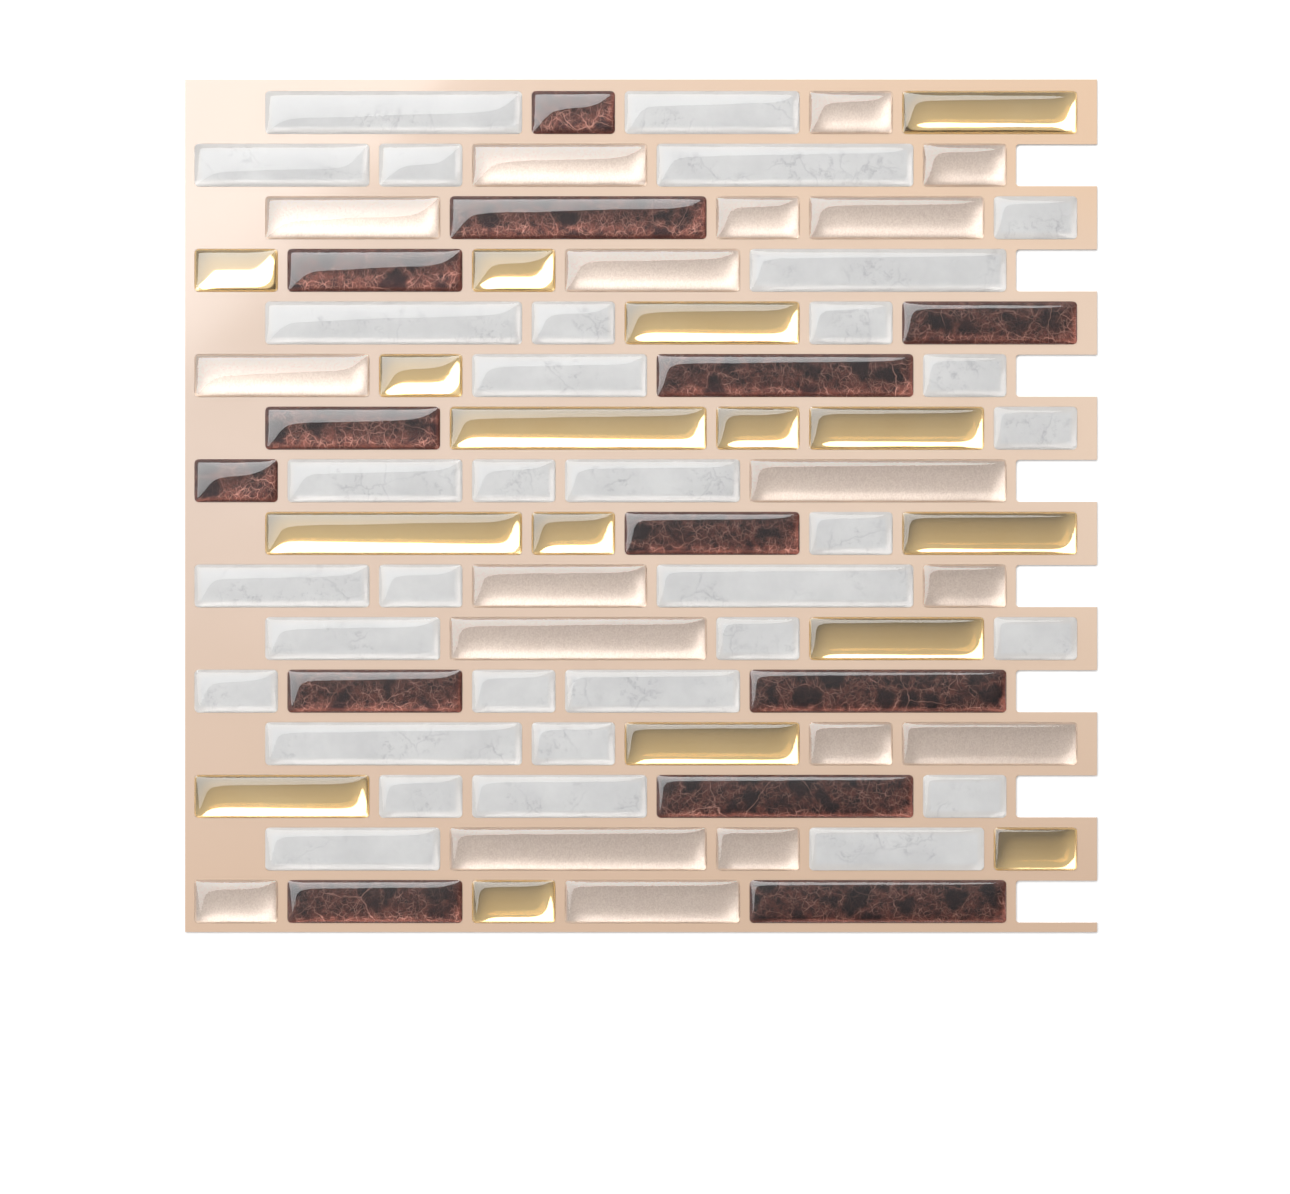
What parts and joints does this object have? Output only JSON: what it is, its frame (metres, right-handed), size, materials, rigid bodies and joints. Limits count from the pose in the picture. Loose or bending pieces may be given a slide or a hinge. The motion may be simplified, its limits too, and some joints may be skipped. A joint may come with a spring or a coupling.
{
  "type": "peel and stick backsplash tile",
  "caption": "Flexible self-adhesive wall tile sheet with a mosaic of domed gel chips in marble, gold and champagne looks and a finger edge that interlocks with the next sheet.",
  "frame": {"origin": "middle of the sheet's box, fingers included, on the underside of the release liner", "axes": "+X along the rows towards the fingers, +Y up the wall, +Z out of the face with the chips"},
  "size_m": [0.254, 0.2374, 0.002],
  "materials": {
    "white_marble_gel": "gloss",
    "brown_marble_gel": "gloss",
    "gold_gel": "gloss",
    "champagne_gel": "gloss",
    "metallised_film": "satin",
    "liner_paper": "matte"
  },
  "bodies": {
    "root": {"printed_film": "metallised_film", "release_liner": "liner_paper", "row_01_brown_marble_chips": "brown_marble_gel", "row_01_champagne_chips": "champagne_gel", "row_01_gold_chips": "gold_gel", "row_01_white_marble_chips": "white_marble_gel", "row_02_champagne_chips": "champagne_gel", "row_02_white_marble_chips": "white_marble_gel", "row_03_brown_marble_chips": "brown_marble_gel", "row_03_champagne_chips": "champagne_gel", "row_03_white_marble_chips": "white_marble_gel", "row_04_brown_marble_chips": "brown_marble_gel", "row_04_champagne_chips": "champagne_gel", "row_04_gold_chips": "gold_gel", "row_04_white_marble_chips": "white_marble_gel", "row_05_brown_marble_chips": "brown_marble_gel", "row_05_gold_chips": "gold_gel", "row_05_white_marble_chips": "white_marble_gel", "row_06_brown_marble_chips": "brown_marble_gel", "row_06_champagne_chips": "champagne_gel", "row_06_gold_chips": "gold_gel", "row_06_white_marble_chips": "white_marble_gel", "row_07_brown_marble_chips": "brown_marble_gel", "row_07_gold_chips": "gold_gel", "row_07_white_marble_chips": "white_marble_gel", "row_08_brown_marble_chips": "brown_marble_gel", "row_08_champagne_chips": "champagne_gel", "row_08_white_marble_chips": "white_marble_gel", "row_09_brown_marble_chips": "brown_marble_gel", "row_09_gold_chips": "gold_gel", "row_09_white_marble_chips": "white_marble_gel", "row_10_champagne_chips": "champagne_gel", "row_10_white_marble_chips": "white_marble_gel", "row_11_champagne_chips": "champagne_gel", "row_11_gold_chips": "gold_gel", "row_11_white_marble_chips": "white_marble_gel", "row_12_brown_marble_chips": "brown_marble_gel", "row_12_white_marble_chips": "white_marble_gel", "row_13_champagne_chips": "champagne_gel", "row_13_gold_chips": "gold_gel", "row_13_white_marble_chips": "white_marble_gel", "row_14_brown_marble_chips": "brown_marble_gel", "row_14_gold_chips": "gold_gel", "row_14_white_marble_chips": "white_marble_gel", "row_15_champagne_chips": "champagne_gel", "row_15_gold_chips": "gold_gel", "row_15_white_marble_chips": "white_marble_gel", "row_16_brown_marble_chips": "brown_marble_gel", "row_16_champagne_chips": "champagne_gel", "row_16_gold_chips": "gold_gel"}
  },
  "joints": []
}
